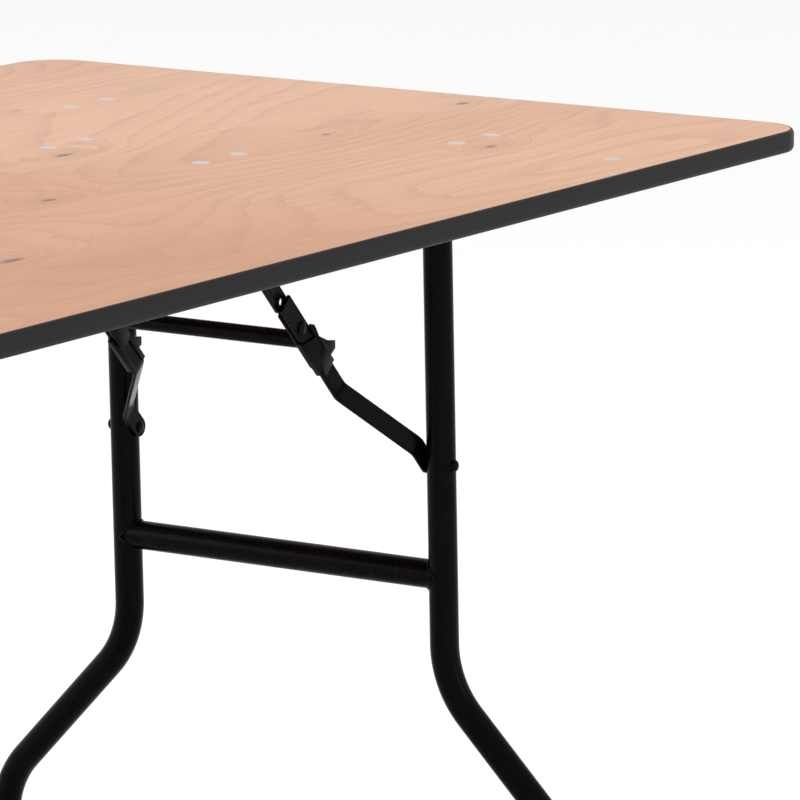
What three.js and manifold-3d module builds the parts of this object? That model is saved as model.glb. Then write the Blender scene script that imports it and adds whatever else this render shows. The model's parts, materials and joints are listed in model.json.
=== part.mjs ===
// A six-foot folding table: a plywood top in a black edge band, and two bent-tube leg frames that
// fold flat under it. Each frame is held open by a pair of two-link braces with sliding lock sleeves.
//
// Millimetres. +X runs along the table, +Y across it, +Z is up. The origin is on the floor under
// the middle of the top. Both ends are the same design: end b is end a turned half round.
// Left and right are those of someone under the middle of the table who looks out at that end.

import * as THREE from "three";
import { mergeVertices } from "three/addons/utils/BufferGeometryUtils.js";
import Module from "manifold-3d";

const wasm = await Module();
wasm.setup();

// ---- Driving dimensions ----

const gap = 0.3; // between parts that touch

// Top
const tableLength = 1828.8;
const tableWidth = 762;
const tableHeight = 768;
const topThickness = 17.3;
const cornerRadius = 43;
const bandThickness = 3;
const bandShoulder = { inward: 2.2, down: 4.5 };
const barb = { depth: 6.5, thickness: 1.6 };

// Leg frames
const tubeRadius = 12;
const tubeWall = 1.2;
const hingeX = 699;
const hingeZ = 737;
const legTilt = THREE.MathUtils.degToRad(2.1);
const legUpperY = 155.4;
const legFootY = 290.4;
const bendTop = 422.3; // down the leg, from the hinge axis
const bendBottom = 564.4;
const bendRadius = 85;
const crossbarDown = 331.2;
const hingeTubeHalf = 203;
const foot = { radius: 14, height: 30, floor: 5, rise: 2, ease: 1 };
const legTop = 3; // below the hinge axis, inside the saddle
const crossbarEnd = 2.5; // short of the leg's axis, before it is coped

// Hinge straps
const strap = { y: 187.6, width: 22, thickness: 3, inner: -33, outer: 41 };
const strapBoltX = [-21.6, 31.4];

// Brace brackets
const bracket = { inner: 466, outer: 550, y: 58, ear: 91.6, thickness: 3, pivotX: 476.7, earRadius: 10.7 };
const bracketBolt = { x: [483.5, 536.3], y: 73.3 };

// Braces: x runs down the brace from the bracket pin, z is square to it, up and outwards
const rivetDown = 238.4; // down the leg, from the hinge axis
const linkHalfWidth = 8.5;
const linkThickness = 3;
const linkGap = 1.5;
const upperTail = 207.5;
const sightHole = { x: 125.5, z: 1, radius: 3.5 };
const stopNotch = { x: 130.5, radius: 2.5 };
const lowerTop = 125.5;
const joggle = { start: 241, end: 311 };
const crossTube = { x: 174.1, radius: 7 };
const pinRadius = 4;
const pinHead = { radius: 5.8, edge: 0.6, height: 1.4, chamfer: 1.2 };
const linkButton = { radius: 4.6, top: 3, edge: 0.8, height: 1.8 };

// Lock sleeves
const sleeve = { top: 166.5, bottom: 212.5, slant: 14, wall: 1.2, face: 1.5, lip: 3.3, travel: 27 };
const sleeveCorner = 5;
const lipClearance = 0.25; // on both faces of the lip, between the links
// Outlines in x and z: the thumb tab, and the small nib above the slanted end.
const thumbTab = [[180.5, 7.8], [180.5, 9.8], [193.4, 15.2], [202.2, 22], [207, 17.6], [205.4, 7.8]];
const sleeveNib = [[165, 6.4], [163.5, 8.9], [168.2, 12], [172.4, 11.7], [182, 9.6], [182, 6.4]];
const loweredSleeves = ["lock_sleeve_left_a"];

// Fasteners
const bolt = { head: 7, headThickness: 1.8, sunk: 0.2, shank: 3, nut: 5.8, nutThickness: 5, stub: 1.2 };
const rivet = { shank: 3, head: 5.2, shoulder: 3.9, crown: 2.4, height: 3.2 };

// Facets
const tubeSides = 14;
const boreSides = 8;
const bendChords = 3;
const smallSides = 8;
const discSides = 12;
const shankSides = 6;

// ---- Values worked out from them ----

const topUnderside = tableHeight - topThickness;
const plateTop = topUnderside - gap;
const earInner = bracket.ear - bracket.thickness;
const upperInner = bracket.ear + gap;
const upperOuter = upperInner + linkThickness;
const lowerInner = upperOuter + linkGap;
const lowerOuter = lowerInner + linkThickness;
const lowerEndOuter = legUpperY - tubeRadius - gap;
const lowerEndInner = lowerEndOuter - linkThickness;
const middleZ = (topUnderside + tableHeight) / 2;
const rivetX = hingeX + rivetDown * Math.sin(legTilt);
const rivetZ = hingeZ - rivetDown * Math.cos(legTilt);
const braceAngle = Math.atan2(hingeZ - rivetZ, rivetX - bracket.pivotX);
const braceLength = Math.hypot(hingeZ - rivetZ, rivetX - bracket.pivotX);
// The links fold flat when the knee shares the length so that both ends meet the hinge height.
const kneeX = (braceLength + (hingeX - rivetDown - bracket.pivotX)) / 2;
const legLength = hingeZ / Math.cos(legTilt);

// ---- Materials ----

function material(color, roughness, metalness) {
  return new THREE.MeshStandardMaterial({ color, roughness, metalness });
}

const plywood = material(0xdcae83, 0.42, 0);
const edgeBlack = material(0x1b1b1d, 0.45, 0);
const powderCoat = material(0x141416, 0.3, 0.2);
const zincSteel = material(0x8f8a90, 0.4, 0.9);
const footRubber = material(0x121212, 0.7, 0);

// ---- Solids ----

function toSolid(geometry) {
  const bare = geometry.clone();
  bare.deleteAttribute("normal");
  bare.deleteAttribute("uv");
  const merged = mergeVertices(bare, 1e-4);
  return new wasm.Manifold(
    new wasm.Mesh({
      numProp: 3,
      vertProperties: merged.attributes.position.array,
      triVerts: new Uint32Array(merged.index.array),
    }),
  );
}

function toGeometry(solid) {
  const mesh = solid.getMesh();
  const geometry = new THREE.BufferGeometry();
  geometry.setAttribute("position", new THREE.BufferAttribute(mesh.vertProperties, 3));
  geometry.setIndex(new THREE.BufferAttribute(mesh.triVerts, 1));
  geometry.computeVertexNormals();
  return geometry;
}

function cut(geometry, ...tools) {
  return toGeometry(tools.reduce((left, tool) => left.subtract(toSolid(tool)), toSolid(geometry)));
}

function join(geometry, ...others) {
  return toGeometry(others.reduce((whole, other) => whole.add(toSolid(other)), toSolid(geometry)));
}

function common(geometry, other) {
  return toGeometry(toSolid(geometry).intersect(toSolid(other)));
}

// The same geometry on the other side of the table's long axis.
function mirrored(geometry) {
  const copy = geometry.clone().scale(1, -1, 1);
  const index = copy.index.array;
  for (let i = 0; i < index.length; i += 3) {
    [index[i + 1], index[i + 2]] = [index[i + 2], index[i + 1]];
  }
  return copy;
}

function slab(shape, low, high, curveSegments = 8) {
  const depth = high - low;
  const geometry = new THREE.ExtrudeGeometry(shape, { depth, bevelEnabled: false, curveSegments });
  return geometry.translate(0, 0, low);
}

// A plate whose outline is drawn in x and z, and which fills low to high in y.
function sidePlate(shape, low, high, curveSegments = 8) {
  return slab(shape, 0, high - low, curveSegments).rotateX(Math.PI / 2).translate(0, high, 0);
}

// A turned piece whose axis is Y: its profile is a list of [radius, y] from low y to high y.
function turnedAcross(profile, sides) {
  return new THREE.LatheGeometry(profile.map(([r, y]) => new THREE.Vector2(r, y)), sides);
}

function turnedUpright(profile, sides) {
  return turnedAcross(profile, sides).rotateX(Math.PI / 2);
}

// The radius that keeps a faceted hole's flats clear of a round of this radius.
function holeRadius(radius, sides) {
  return (radius + gap) / Math.cos(Math.PI / sides);
}

function rodAcross(radius, low, high, sides) {
  return turnedAcross([[0, low], [radius, low], [radius, high], [0, high]], sides);
}

function rodUpright(radius, low, high, sides) {
  return turnedUpright([[0, low], [radius, low], [radius, high], [0, high]], sides);
}

function outline(points) {
  return new THREE.Shape(points.map(([x, y]) => new THREE.Vector2(x, y)));
}

function roundedRectangle(length, width, radius) {
  const x = length / 2 - radius;
  const y = width / 2 - radius;
  const shape = new THREE.Shape();
  shape.absarc(x, y, radius, 0, Math.PI / 2);
  shape.absarc(-x, y, radius, Math.PI / 2, Math.PI);
  shape.absarc(-x, -y, radius, Math.PI, 1.5 * Math.PI);
  shape.absarc(x, -y, radius, 1.5 * Math.PI, 2 * Math.PI);
  shape.closePath();
  return shape;
}

// A path that is sampled only at its own stations, so that a straight stretch takes one step.
class StationPath extends THREE.Curve {
  constructor(stations) {
    super();
    this.stations = stations;
  }

  at(u) {
    return this.stations[Math.round(u * (this.stations.length - 1))];
  }

  getPointAt(u) {
    return this.at(u).point.clone();
  }

  getTangentAt(u) {
    return this.at(u).tangent.clone();
  }
}

// The stations of a bent rod: straights between the corners, and an arc at each corner.
function bentStations(corners, radius, chords) {
  const stations = [];
  const add = (point, tangent) => stations.push({ point, tangent: tangent.clone() });
  const direction = (i) => corners[i + 1].clone().sub(corners[i]).normalize();
  add(corners[0], direction(0));
  for (let i = 1; i < corners.length - 1; i++) {
    const before = direction(i - 1);
    const after = direction(i);
    const turn = before.angleTo(after);
    const axis = before.clone().cross(after).normalize();
    const start = corners[i].clone().addScaledVector(before, -radius * Math.tan(turn / 2));
    const inward = axis.clone().cross(before);
    const centre = start.clone().addScaledVector(inward, radius);
    for (let j = 0; j <= chords; j++) {
      const angle = (turn * j) / chords;
      const spoke = inward.clone().multiplyScalar(-radius).applyAxisAngle(axis, angle);
      add(centre.clone().add(spoke), before.clone().applyAxisAngle(axis, angle));
    }
  }
  add(corners[corners.length - 1], direction(corners.length - 2));
  return stations;
}

function circle(radius, sides) {
  const points = [];
  for (let i = 0; i < sides; i++) {
    const angle = (2 * Math.PI * i) / sides;
    points.push([radius * Math.cos(angle), radius * Math.sin(angle)]);
  }
  return outline(points);
}

function sweptRod(stations, radius, sides) {
  const extrudePath = new StationPath(stations);
  const steps = stations.length - 1;
  return new THREE.ExtrudeGeometry(circle(radius, sides), { steps, extrudePath, curveSegments: 1 });
}

function place(parent, name, geometry, finish) {
  const mesh = new THREE.Mesh(geometry, finish);
  mesh.name = name;
  parent.add(mesh);
  return mesh;
}

// ---- The top ----

const panelLength = tableLength - 2 * (bandThickness + gap);
const panelWidth = tableWidth - 2 * (bandThickness + gap);
const panelRadius = cornerRadius - bandThickness - gap;

// Where each end's bolts come through the top, as [x, y] for the left and right of end a.
function boltPlaces() {
  const places = [];
  for (const side of [1, -1]) {
    strapBoltX.forEach((x) => places.push([hingeX + x, side * strap.y]));
    bracketBolt.x.forEach((x) => places.push([x, side * bracketBolt.y]));
  }
  return places;
}

// The hole for a bolt's shank, and the recess that its head lies in.
function boltHole(x, y) {
  const floor = tableHeight - bolt.sunk - bolt.headThickness - gap;
  return [
    rodUpright(bolt.shank + gap, topUnderside - 1, tableHeight, shankSides).translate(x, y, 0),
    rodUpright(bolt.head + gap, floor, tableHeight + 1, discSides).translate(x, y, 0),
  ];
}

function topPanel() {
  const board = slab(roundedRectangle(panelLength, panelWidth, panelRadius), topUnderside, tableHeight);
  const half = barb.thickness / 2 + gap;
  const depth = barb.depth + gap;
  const around = roundedRectangle(tableLength, tableWidth, cornerRadius);
  const inside = roundedRectangle(panelLength - 2 * depth, panelWidth - 2 * depth, panelRadius - depth);
  around.holes.push(inside);
  const groove = slab(around, middleZ - half, middleZ + half);
  const holes = boltPlaces().flatMap(([x, y]) => [...boltHole(x, y), ...boltHole(-x, -y)]);
  return cut(board, groove, ...holes);
}

// The band is a moulded strip: rounded shoulders outside, and a barb that fills the panel's groove.
function edgeBand() {
  const { inward, down } = bandShoulder;
  const body = new THREE.ExtrudeGeometry(roundedRectangle(tableLength, tableWidth, cornerRadius), {
    depth: topThickness - 2 * down,
    bevelThickness: down,
    bevelSize: inward,
    bevelOffset: -inward,
    bevelSegments: 3,
    curveSegments: 8,
  }).translate(0, 0, topUnderside + down);
  const wallLength = tableLength - 2 * bandThickness;
  const wallWidth = tableWidth - 2 * bandThickness;
  const wallRadius = cornerRadius - bandThickness;
  const inside = roundedRectangle(wallLength, wallWidth, wallRadius);
  const opening = slab(inside, topUnderside - 1, tableHeight + 1);
  const tongue = roundedRectangle(wallLength + 1, wallWidth + 1, wallRadius + 0.5);
  const reach = 2 * barb.depth;
  tongue.holes.push(roundedRectangle(wallLength - reach, wallWidth - reach, wallRadius - barb.depth));
  const half = barb.thickness / 2;
  return join(cut(body, opening), slab(tongue, middleZ - half, middleZ + half));
}

// ---- Leg frame, about its hinge axis: legs run down -Z ----

function leg(side) {
  const corners = [
    new THREE.Vector3(0, legUpperY, -legTop),
    new THREE.Vector3(0, legUpperY, -bendTop),
    new THREE.Vector3(0, legFootY, -bendBottom),
    new THREE.Vector3(0, legFootY, -legLength + foot.floor + 1),
  ];
  const stations = bentStations(corners, bendRadius, bendChords);
  const outer = sweptRod(stations, tubeRadius, tubeSides);
  stations[0].point.z += 1;
  stations[stations.length - 1].point.z -= 1;
  const bore = sweptRod(stations, tubeRadius - tubeWall, boreSides);
  const saddleRadius = holeRadius(tubeRadius, tubeSides);
  const saddle = rodAcross(saddleRadius, legUpperY - 30, legUpperY + 30, tubeSides);
  const rivetHoleRadius = holeRadius(rivet.shank, smallSides);
  const rivetHole = rodAcross(rivetHoleRadius, legUpperY - 20, legUpperY + 20, smallSides);
  const tube = cut(outer, bore, saddle, rivetHole.translate(0, 0, -rivetDown));
  return side > 0 ? tube : mirrored(tube);
}

function hingeTube() {
  const tube = rodAcross(tubeRadius, -hingeTubeHalf, hingeTubeHalf, tubeSides);
  return cut(tube, rodAcross(tubeRadius - tubeWall, -hingeTubeHalf - 1, hingeTubeHalf + 1, boreSides));
}

// The crossbar's ends are shaped to the legs that they are welded to.
function crossbar() {
  const barEnd = legUpperY - crossbarEnd;
  const bar = rodAcross(tubeRadius, -barEnd, barEnd, tubeSides);
  const bore = rodAcross(tubeRadius - tubeWall, -legUpperY, legUpperY, boreSides);
  const copes = [1, -1].map((side) =>
    rodUpright(holeRadius(tubeRadius, tubeSides), -30, 30, tubeSides).translate(0, side * legUpperY, 0),
  );
  return cut(bar, bore, ...copes);
}

// The foot is a cup round the leg's end. It is turned a little too deep, then cut level with the floor.
function footCap() {
  const profile = [
    [0, -foot.rise],
    [foot.radius - 2 * foot.ease, -foot.rise],
    [foot.radius, 2 * foot.ease - foot.rise],
    [foot.radius, foot.height - foot.ease],
    [foot.radius - foot.ease, foot.height],
    [tubeRadius + gap, foot.height],
    [tubeRadius + gap, foot.floor],
    [0, foot.floor],
  ];
  const below = new THREE.BoxGeometry(60, 60, 20).translate(0, 0, -10).rotateY(legTilt);
  return cut(turnedUpright(profile, tubeSides), below);
}

// ---- Fittings under the top ----

function uprightHole(x, y) {
  return rodUpright(bolt.shank + gap, -60, 60, smallSides).translate(x, y, 0);
}

// A strap that wraps under the hinge tube, with a foot on either side of it. z is from the hinge axis.
function hingeStrap() {
  const face = plateTop - hingeZ;
  const inner = tubeRadius + gap;
  const outer = inner + strap.thickness;
  const shape = new THREE.Shape();
  shape.moveTo(strap.inner, face);
  shape.lineTo(-inner, face);
  shape.lineTo(-inner, 0);
  shape.absarc(0, 0, inner, Math.PI, 2 * Math.PI);
  shape.lineTo(inner, face);
  shape.lineTo(strap.outer, face);
  shape.lineTo(strap.outer, face - strap.thickness);
  shape.lineTo(outer, face - strap.thickness);
  shape.lineTo(outer, 0);
  shape.absarc(0, 0, outer, 2 * Math.PI, Math.PI, true);
  shape.lineTo(-outer, face - strap.thickness);
  shape.lineTo(strap.inner, face - strap.thickness);
  shape.closePath();
  const plate = sidePlate(shape, -strap.width / 2, strap.width / 2, 8);
  return cut(plate, ...strapBoltX.map((x) => uprightHole(x, 0)));
}

// The profile of a pin's head, from the face that it bears on outwards.
function headRings(bearing) {
  return [
    [pinHead.radius, bearing],
    [pinHead.radius, bearing + pinHead.edge],
    [pinHead.radius - pinHead.chamfer, bearing + pinHead.height],
    [0, bearing + pinHead.height],
  ];
}

// An angle plate: a foot under the top, and an ear that carries the brace's pin.
function braceBracket(side) {
  const footX = (bracket.outer + bracket.inner) / 2;
  const footY = (bracket.ear + bracket.y) / 2;
  const footLength = bracket.outer - bracket.inner;
  const foundation = new THREE.BoxGeometry(footLength, bracket.ear - bracket.y, bracket.thickness)
    .translate(footX, footY, plateTop - bracket.thickness / 2);
  const shape = new THREE.Shape();
  shape.moveTo(bracket.inner, plateTop);
  shape.absarc(bracket.pivotX, hingeZ, bracket.earRadius, Math.PI, 1.7 * Math.PI);
  shape.lineTo(bracket.outer, plateTop - bracket.thickness);
  shape.lineTo(bracket.outer, plateTop);
  shape.closePath();
  const ear = sidePlate(shape, earInner, bracket.ear);
  const stud = turnedAcross(
    [
      [0, earInner + 1],
      [pinRadius, earInner + 1],
      [pinRadius, upperOuter + gap],
      ...headRings(upperOuter + gap),
    ],
    smallSides,
  ).translate(bracket.pivotX, 0, hingeZ);
  const holes = bracketBolt.x.map((x) => uprightHole(x, bracketBolt.y).translate(0, 0, plateTop));
  const whole = cut(join(foundation, ear, stud), ...holes);
  return side > 0 ? whole : mirrored(whole);
}

// A flat-headed bolt through the top, with its nut under the plate that it holds.
function topBolt() {
  const seat = plateTop - bracket.thickness - gap;
  const top = tableHeight - bolt.sunk;
  const neck = top - bolt.headThickness;
  const shank = rodUpright(bolt.shank, seat - bolt.nutThickness - bolt.stub, neck + 0.5, shankSides);
  const head = rodUpright(bolt.head, neck, top, discSides);
  return join(shank, head, rodUpright(bolt.nut, seat - bolt.nutThickness, seat, 6));
}

// ---- Brace, about its bracket pin ----

function linkOutline(start, end, roundStart) {
  const r = linkHalfWidth;
  const shape = new THREE.Shape();
  shape.moveTo(start, -r);
  shape.absarc(end, 0, r, -Math.PI / 2, Math.PI / 2);
  if (roundStart) shape.absarc(start, 0, r, Math.PI / 2, 1.5 * Math.PI);
  else shape.lineTo(start, r);
  shape.closePath();
  return shape;
}

function crossHole(radius, x, z) {
  return rodAcross(radius, upperInner - 1, lowerEndOuter + 1, smallSides).translate(x, 0, z);
}

function upperLink(side) {
  const strip = sidePlate(linkOutline(0, upperTail - linkHalfWidth, true), upperInner, upperOuter, 6);
  const link = cut(
    strip,
    crossHole(holeRadius(pinRadius, smallSides), 0, 0),
    crossHole(holeRadius(pinRadius, smallSides), kneeX, 0),
    crossHole(sightHole.radius, sightHole.x, sightHole.z),
    crossHole(stopNotch.radius, stopNotch.x, -linkHalfWidth),
  );
  return side > 0 ? link : mirrored(link);
}

// The lower link steps out from beside the upper link to the inside of the leg.
function lowerLink(side) {
  const slope = Math.atan2(lowerEndOuter - lowerOuter, joggle.end - joggle.start);
  const shift = linkThickness * Math.tan(slope / 2);
  const end = braceLength + linkHalfWidth + 1;
  const step = outline([
    [lowerTop - 1, lowerInner],
    [joggle.start, lowerInner],
    [joggle.end, lowerEndInner],
    [end, lowerEndInner],
    [end, lowerEndOuter],
    [joggle.end - shift, lowerEndOuter],
    [joggle.start - shift, lowerOuter],
    [lowerTop - 1, lowerOuter],
  ]);
  const strip = slab(step, -linkHalfWidth - 1, linkHalfWidth + 1);
  const face = sidePlate(linkOutline(lowerTop, braceLength, false), lowerInner - 1, lowerEndOuter + 1, 6);
  const button = turnedAcross(
    [
      [0, lowerEndInner - linkButton.height],
      [linkButton.top, lowerEndInner - linkButton.height],
      [linkButton.radius, lowerEndInner - linkButton.edge],
      [linkButton.radius, lowerEndInner + 1],
      [0, lowerEndInner + 1],
    ],
    smallSides,
  ).translate(braceLength, 0, 0);
  const kneeHole = crossHole(holeRadius(pinRadius, smallSides), kneeX, 0);
  const link = cut(join(common(strip, face), button), kneeHole);
  return side > 0 ? link : mirrored(link);
}

// The knee pin's shoulder spaces the two links.
function kneePin(side) {
  const innerFace = upperInner - gap;
  const pin = turnedAcross(
    [
      [0, innerFace - pinHead.height],
      [pinHead.radius - pinHead.chamfer, innerFace - pinHead.height],
      [pinHead.radius, innerFace - pinHead.edge],
      [pinHead.radius, innerFace],
      [pinRadius, innerFace],
      [pinRadius, upperOuter + gap],
      [pinHead.radius, upperOuter + gap],
      [pinHead.radius, lowerInner - gap],
      [pinRadius, lowerInner - gap],
      [pinRadius, lowerOuter + gap],
      ...headRings(lowerOuter + gap),
    ],
    smallSides,
  ).translate(kneeX, 0, 0);
  return side > 0 ? pin : mirrored(pin);
}

function braceCrossTube() {
  const half = bracket.ear;
  const tube = rodAcross(crossTube.radius, -half, half, tubeSides);
  const bore = rodAcross(crossTube.radius - tubeWall, -half - 1, half + 1, boreSides);
  return cut(tube, bore).translate(crossTube.x, 0, 0);
}

// A channel that hugs the lower link, with a thumb tab on its upper edge.
function lockSleeve(side) {
  const clear = linkHalfWidth + gap;
  const edge = clear + sleeve.wall;
  const faceInner = lowerOuter + gap;
  const faceOuter = faceInner + sleeve.face;
  const lipInner = upperOuter + lipClearance;
  const lipOuter = lowerInner - lipClearance;
  const half = [
    [faceOuter, edge],
    [lipInner, edge],
    [lipInner, clear - sleeve.lip],
    [lipOuter, clear - sleeve.lip],
    [lipOuter, clear],
    [faceInner, clear],
  ];
  const section = outline([...half, ...half.slice().reverse().map(([y, z]) => [y, -z])]);
  // The section is drawn in y and z, and swept along x.
  const length = sleeve.bottom - sleeve.top;
  const channel = slab(section, 0, length)
    .rotateY(Math.PI / 2)
    .rotateX(Math.PI / 2)
    .translate(sleeve.top, 0, 0);
  const profile = outline([
    [sleeve.top, -edge - 1],
    [sleeve.top + sleeve.slant, edge + 1],
    [sleeve.bottom, edge + 1],
    [sleeve.bottom, sleeveCorner - edge],
    [sleeve.bottom - sleeveCorner, -edge - 1],
  ]);
  const trimmed = common(channel, sidePlate(profile, lipInner - 1, faceOuter + 1));
  const tabs = [thumbTab, sleeveNib].map((points) => sidePlate(outline(points), faceInner, faceOuter));
  const whole = join(trimmed, ...tabs);
  return side > 0 ? whole : mirrored(whole);
}

function legRivet(side) {
  const inner = legUpperY - tubeRadius + 0.1;
  const outer = legUpperY + tubeRadius + gap;
  const solid = turnedAcross(
    [
      [0, inner],
      [rivet.shank, inner],
      [rivet.shank, outer],
      [rivet.head, outer],
      [rivet.shoulder, outer + 0.6 * rivet.height],
      [rivet.crown, outer + rivet.height],
      [0, outer + rivet.height],
    ],
    smallSides,
  ).translate(0, 0, -rivetDown);
  return side > 0 ? solid : mirrored(solid);
}

// ---- Assembly ----

const table = new THREE.Group();
place(table, "top_panel", topPanel(), plywood);
place(table, "edge_band", edgeBand(), edgeBlack);

const sides = [["left", 1], ["right", -1]];

function addFittings(end, suffix) {
  for (const [word, side] of sides) {
    const hinge = place(end, `hinge_strap_${word}_${suffix}`, hingeStrap(), powderCoat);
    hinge.position.set(hingeX, side * strap.y, hingeZ);
    place(end, `brace_bracket_${word}_${suffix}`, braceBracket(side), powderCoat);
    strapBoltX.forEach((x, i) => {
      const screw = place(end, `hinge_bolt_${word}_${i + 1}_${suffix}`, topBolt(), zincSteel);
      screw.position.set(hingeX + x, side * strap.y, 0);
    });
    bracketBolt.x.forEach((x, i) => {
      const screw = place(end, `bracket_bolt_${word}_${i + 1}_${suffix}`, topBolt(), zincSteel);
      screw.position.set(x, side * bracketBolt.y, 0);
    });
  }
}

function addLegFrame(end, suffix) {
  const frame = new THREE.Group();
  frame.position.set(hingeX, 0, hingeZ);
  frame.rotation.y = -legTilt;
  end.add(frame);
  place(frame, `hinge_tube_${suffix}`, hingeTube(), powderCoat);
  place(frame, `crossbar_${suffix}`, crossbar(), powderCoat).position.z = -crossbarDown;
  for (const [word, side] of sides) {
    place(frame, `leg_${word}_${suffix}`, leg(side), powderCoat);
    place(frame, `leg_rivet_${word}_${suffix}`, legRivet(side), powderCoat);
    const cap = place(frame, `foot_${word}_${suffix}`, footCap(), footRubber);
    cap.position.set(0, side * legFootY, -legLength);
  }
}

function addBraces(end, suffix) {
  const brace = new THREE.Group();
  brace.position.set(bracket.pivotX, 0, hingeZ);
  brace.rotation.y = braceAngle;
  end.add(brace);
  place(brace, `brace_cross_tube_${suffix}`, braceCrossTube(), powderCoat);
  for (const [word, side] of sides) {
    place(brace, `upper_link_${word}_${suffix}`, upperLink(side), powderCoat);
    place(brace, `lower_link_${word}_${suffix}`, lowerLink(side), powderCoat);
    place(brace, `knee_pin_${word}_${suffix}`, kneePin(side), powderCoat);
    const lock = place(brace, `lock_sleeve_${word}_${suffix}`, lockSleeve(side), powderCoat);
    lock.position.x = loweredSleeves.includes(lock.name) ? sleeve.travel : 0;
  }
}

for (const [suffix, turn] of [["a", 0], ["b", Math.PI]]) {
  const end = new THREE.Group();
  end.rotation.z = turn;
  table.add(end);
  addFittings(end, suffix);
  addLegFrame(end, suffix);
  addBraces(end, suffix);
}

export default table;
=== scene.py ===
import json
import math

import bmesh
import bpy
from mathutils import Matrix, Vector


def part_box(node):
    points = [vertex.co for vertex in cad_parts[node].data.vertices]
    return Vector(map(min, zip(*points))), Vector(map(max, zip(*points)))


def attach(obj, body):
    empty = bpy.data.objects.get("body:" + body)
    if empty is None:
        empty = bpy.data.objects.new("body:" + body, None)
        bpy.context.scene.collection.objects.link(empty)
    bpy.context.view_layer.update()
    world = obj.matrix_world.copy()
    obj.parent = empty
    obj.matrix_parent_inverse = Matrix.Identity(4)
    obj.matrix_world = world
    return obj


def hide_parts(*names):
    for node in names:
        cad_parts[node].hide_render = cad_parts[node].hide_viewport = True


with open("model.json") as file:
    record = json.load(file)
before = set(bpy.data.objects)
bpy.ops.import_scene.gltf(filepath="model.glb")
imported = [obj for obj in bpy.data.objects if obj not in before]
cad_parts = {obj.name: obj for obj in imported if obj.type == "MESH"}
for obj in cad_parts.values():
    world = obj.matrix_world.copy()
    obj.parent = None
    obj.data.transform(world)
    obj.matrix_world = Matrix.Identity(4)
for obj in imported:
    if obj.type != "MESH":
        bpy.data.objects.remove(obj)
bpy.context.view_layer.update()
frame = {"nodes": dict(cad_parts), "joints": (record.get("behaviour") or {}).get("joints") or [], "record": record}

# Folding table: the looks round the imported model. Metres, +Z up, origin on the floor under the top.
tau = 2 * math.pi
mm = 0.001
xWay = Vector((1, 0, 0))
yWay = Vector((0, 1, 0))
tinyRadius = 0.01 * mm  # stands in for a point on a turned piece's axis

bodies = frame["record"]["behaviour"]["bodies"]
bodyOfNode = {node: body for body, nodes in bodies.items() for node in nodes}
jointOf = {joint["name"]: joint for joint in frame["joints"]}
ends = {"a": 0.0, "b": math.pi}  # each end and its turn about Z
hands = {"left": 1, "right": -1}

# Angles in degrees, lens and sensor in millimetres.
camera = {
    "place": (-3.6645, -2.8592, 1.5354), "heading": 32.107, "dip": 10.832, "roll": 0.062,
    "lens": 291.5, "sensor": 36, "reach": 60,
}
studio = {
    "floor": (0.93, 0.93, 0.925), "floorHalf": 14.0, "floorRoughness": 0.8,
    "world": (1.0, 1.0, 1.0), "worldStrength": 1.0,
}
softLights = {
    "overhead": {"place": (0.2, -0.6, 4.2), "aim": (0.3, 0.0, 0.75), "size": (4.0, 3.0), "power": 40},
    "windowSide": {"place": (-2.6, 2.8, 2.0), "aim": (0.6, 0.0, 0.6), "size": (1.2, 2.6), "power": 26},
    "nearSide": {"place": (1.0, -3.6, 1.7), "aim": (0.6, 0.0, 0.5), "size": (0.9, 2.4), "power": 16},
}


def makeCamera():
    data = bpy.data.cameras.new("camera")
    data.lens = camera["lens"]
    data.sensor_width = camera["sensor"]
    data.clip_end = camera["reach"]
    eye = bpy.data.objects.new("camera", data)
    heading = math.radians(camera["heading"])
    dip = math.radians(camera["dip"])
    ahead = Vector((math.cos(heading) * math.cos(dip), math.sin(heading) * math.cos(dip), -math.sin(dip)))
    right = Vector((math.sin(heading), -math.cos(heading), 0))
    up = right.cross(ahead)
    turn = Matrix((right, up, -ahead)).transposed() @ Matrix.Rotation(math.radians(camera["roll"]), 3, "Z")
    eye.matrix_world = Matrix.Translation(camera["place"]) @ turn.to_4x4()
    bpy.context.scene.collection.objects.link(eye)
    bpy.context.scene.camera = eye


def makeLights():
    for name, spec in softLights.items():
        data = bpy.data.lights.new(name, "AREA")
        data.shape = "RECTANGLE"
        data.size, data.size_y = spec["size"]
        data.energy = spec["power"]
        lamp = bpy.data.objects.new(name, data)
        lamp.location = spec["place"]
        toward = Vector(spec["aim"]) - Vector(spec["place"])
        lamp.rotation_euler = toward.to_track_quat("-Z", "Y").to_euler()
        bpy.context.scene.collection.objects.link(lamp)
    world = bpy.data.worlds.new("studio")
    world.use_nodes = True
    back = world.node_tree.nodes["Background"]
    back.inputs["Color"].default_value = (*studio["world"], 1)
    back.inputs["Strength"].default_value = studio["worldStrength"]
    bpy.context.scene.world = world
    bpy.context.scene.view_settings.view_transform = "Standard"


def makeFloor():
    mesh = bpy.data.meshes.new("floor")
    half = studio["floorHalf"]
    corners = [(-half, -half, 0), (half, -half, 0), (half, half, 0), (-half, half, 0)]
    mesh.from_pydata(corners, [], [(0, 1, 2, 3)])
    floor = bpy.data.objects.new("floor", mesh)
    bpy.context.scene.collection.objects.link(floor)
    paint = bpy.data.materials.new("paleFloor")
    paint.use_nodes = True
    shader = paint.node_tree.nodes["Principled BSDF"]
    shader.inputs["Base Color"].default_value = (*studio["floor"], 1)
    shader.inputs["Roughness"].default_value = studio["floorRoughness"]
    mesh.materials.append(paint)


makeCamera()
makeLights()
makeFloor()
print("stage: camera, lights and floor")


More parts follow.
